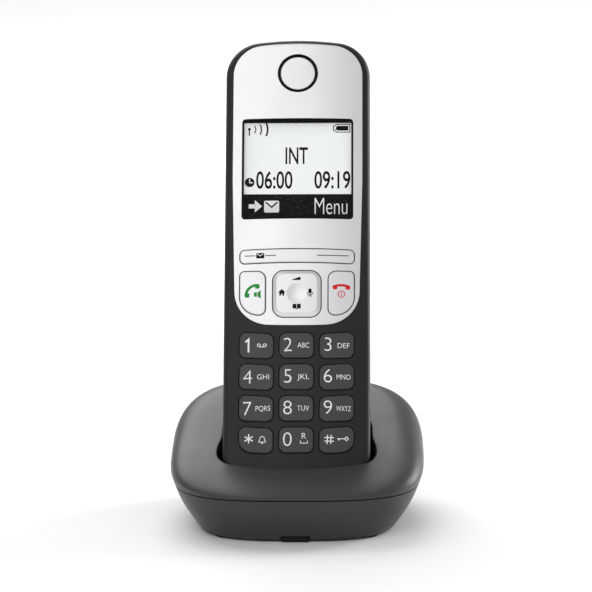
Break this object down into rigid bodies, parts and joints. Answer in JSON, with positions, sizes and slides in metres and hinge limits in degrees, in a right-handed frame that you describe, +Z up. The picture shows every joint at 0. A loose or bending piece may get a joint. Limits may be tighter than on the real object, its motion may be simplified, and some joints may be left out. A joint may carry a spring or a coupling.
{
  "type": "cordless telephone with charging base",
  "caption": "Cordless telephone handset leaning back in a rounded charging base, with a display window, navigation key, keypad, removable battery cover and sprung charging pins.",
  "frame": {"origin": "on the table, under the middle of the whole telephone's bounding box, handset docked", "axes": "+Z up, -Y towards the user (the face of the handset), +X to the user's right"},
  "size_m": [0.0848, 0.0987, 0.1565],
  "materials": {
    "case_dark": "satin dark grey moulded plastic",
    "silver": "bright silver lacquer",
    "key_dark": "satin dark grey keys",
    "window_clear": "clear window",
    "lcd": "pale lit display",
    "black_plastic": "black plastic",
    "white_diffuser": "white diffuser",
    "rubber_grey": "soft silicone",
    "rubber_black": "rubber",
    "board_green": "lacquered circuit board",
    "contact_metal": "gold plated",
    "steel": "zinc plated",
    "cell_jacket": "printed shrink jacket",
    "foil": "clear dome foil"
  },
  "bodies": {
    "base": {"base_top_cover": "case_dark", "pocket_liner": "case_dark", "base_bottom_cover": "case_dark", "base_feet": "rubber_black", "base_screws": "steel", "base_board": "board_green", "charge_pin_holder": "black_plastic", "line_jack": "black_plastic", "power_jack": "black_plastic", "paging_switch": "black_plastic"},
    "handset": {"handset_front_cover": "case_dark", "silver_faceplate": "silver", "display_window": "window_clear", "display_gasket": "black_plastic", "lcd_panel": "lcd", "lcd_light_guide": "white_diffuser", "earpiece_disc": "silver", "earpiece_grille": "black_plastic", "ear_speaker": "black_plastic", "ringer_speaker": "black_plastic", "keypad_mat": "rubber_grey", "dome_sheet": "foil", "main_board": "board_green", "microphone": "black_plastic", "handset_charge_contacts": "contact_metal", "handset_rear_cover": "case_dark", "battery_cell_left": "cell_jacket", "battery_cell_right": "cell_jacket", "cell_contacts": "contact_metal"},
    "battery_cover": {"battery_cover": "case_dark"},
    "softkey_bar": {"softkey_bar": "silver"},
    "nav_post": {"nav_pivot_post": "black_plastic"},
    "nav_key": {"nav_key": "silver"},
    "paging_key": {"paging_key": "case_dark"},
    "charge_pin_left": {"charge_pin_left": "contact_metal"},
    "charge_pin_right": {"charge_pin_right": "contact_metal"},
    "key_0": {"key_0": "key_dark"},
    "key_1": {"key_1": "key_dark"},
    "key_2": {"key_2": "key_dark"},
    "key_3": {"key_3": "key_dark"},
    "key_4": {"key_4": "key_dark"},
    "key_5": {"key_5": "key_dark"},
    "key_6": {"key_6": "key_dark"},
    "key_7": {"key_7": "key_dark"},
    "key_8": {"key_8": "key_dark"},
    "key_9": {"key_9": "key_dark"},
    "key_star": {"key_star": "key_dark"},
    "key_hash": {"key_hash": "key_dark"},
    "talk_key": {"talk_key": "silver"},
    "end_key": {"end_key": "silver"}
  },
  "joints": [
    {"name": "handset_lift", "type": "slide", "parent": "base", "child": "handset", "axis": [0, 0.4384, 0.8988], "range_m": [0, 0.06]},
    {"name": "key_0_press", "type": "slide", "parent": "handset", "child": "key_0", "axis": [0, 0.8988, -0.4384], "range_m": [0, 0.0004], "stiffness_N_per_m": 1500},
    {"name": "key_1_press", "type": "slide", "parent": "handset", "child": "key_1", "axis": [0, 0.8988, -0.4384], "range_m": [0, 0.0004], "stiffness_N_per_m": 1500},
    {"name": "key_2_press", "type": "slide", "parent": "handset", "child": "key_2", "axis": [0, 0.8988, -0.4384], "range_m": [0, 0.0004], "stiffness_N_per_m": 1500},
    {"name": "key_3_press", "type": "slide", "parent": "handset", "child": "key_3", "axis": [0, 0.8988, -0.4384], "range_m": [0, 0.0004], "stiffness_N_per_m": 1500},
    {"name": "key_4_press", "type": "slide", "parent": "handset", "child": "key_4", "axis": [0, 0.8988, -0.4384], "range_m": [0, 0.0004], "stiffness_N_per_m": 1500},
    {"name": "key_5_press", "type": "slide", "parent": "handset", "child": "key_5", "axis": [0, 0.8988, -0.4384], "range_m": [0, 0.0004], "stiffness_N_per_m": 1500},
    {"name": "key_6_press", "type": "slide", "parent": "handset", "child": "key_6", "axis": [0, 0.8988, -0.4384], "range_m": [0, 0.0004], "stiffness_N_per_m": 1500},
    {"name": "key_7_press", "type": "slide", "parent": "handset", "child": "key_7", "axis": [0, 0.8988, -0.4384], "range_m": [0, 0.0004], "stiffness_N_per_m": 1500},
    {"name": "key_8_press", "type": "slide", "parent": "handset", "child": "key_8", "axis": [0, 0.8988, -0.4384], "range_m": [0, 0.0004], "stiffness_N_per_m": 1500},
    {"name": "key_9_press", "type": "slide", "parent": "handset", "child": "key_9", "axis": [0, 0.8988, -0.4384], "range_m": [0, 0.0004], "stiffness_N_per_m": 1500},
    {"name": "key_star_press", "type": "slide", "parent": "handset", "child": "key_star", "axis": [0, 0.8988, -0.4384], "range_m": [0, 0.0004], "stiffness_N_per_m": 1500},
    {"name": "key_hash_press", "type": "slide", "parent": "handset", "child": "key_hash", "axis": [0, 0.8988, -0.4384], "range_m": [0, 0.0004], "stiffness_N_per_m": 1500},
    {"name": "talk_key_press", "type": "slide", "parent": "handset", "child": "talk_key", "axis": [0, 0.8988, -0.4384], "range_m": [0, 0.0004], "stiffness_N_per_m": 1500},
    {"name": "end_key_press", "type": "slide", "parent": "handset", "child": "end_key", "axis": [0, 0.8988, -0.4384], "range_m": [0, 0.0004], "stiffness_N_per_m": 1500},
    {"name": "softkey_rock", "type": "hinge", "parent": "handset", "child": "softkey_bar", "pos_m": [0, 0.00382, 0.08627], "axis": [0, 0.4384, 0.8988], "range_deg": [-1.2, 1.2], "stiffness_Nm_per_rad": 0.5},
    {"name": "nav_tilt_up_down", "type": "hinge", "parent": "handset", "child": "nav_post", "pos_m": [0, -0.00206, 0.07423], "axis": [1, 0, 0], "range_deg": [-1.8, 1.8], "stiffness_Nm_per_rad": 0.3},
    {"name": "nav_tilt_side", "type": "hinge", "parent": "nav_post", "child": "nav_key", "pos_m": [0, -0.00206, 0.07423], "axis": [0, 0.4384, 0.8988], "range_deg": [-1.8, 1.8], "stiffness_Nm_per_rad": 0.3},
    {"name": "battery_cover_open", "type": "hinge", "parent": "handset", "child": "battery_cover", "pos_m": [0, 0.00447, 0.04184], "axis": [-1, 0, 0], "range_deg": [0, 30]},
    {"name": "paging_key_press", "type": "slide", "parent": "base", "child": "paging_key", "axis": [0, 1, 0], "range_m": [0, 0.0006], "stiffness_N_per_m": 1500},
    {"name": "charge_pin_left_press", "type": "slide", "parent": "base", "child": "charge_pin_left", "axis": [0, 0.4384, 0.8988], "range_m": [-0.0008, 0], "stiffness_N_per_m": 300},
    {"name": "charge_pin_right_press", "type": "slide", "parent": "base", "child": "charge_pin_right", "axis": [0, 0.4384, 0.8988], "range_m": [-0.0008, 0], "stiffness_N_per_m": 300}
  ]
}
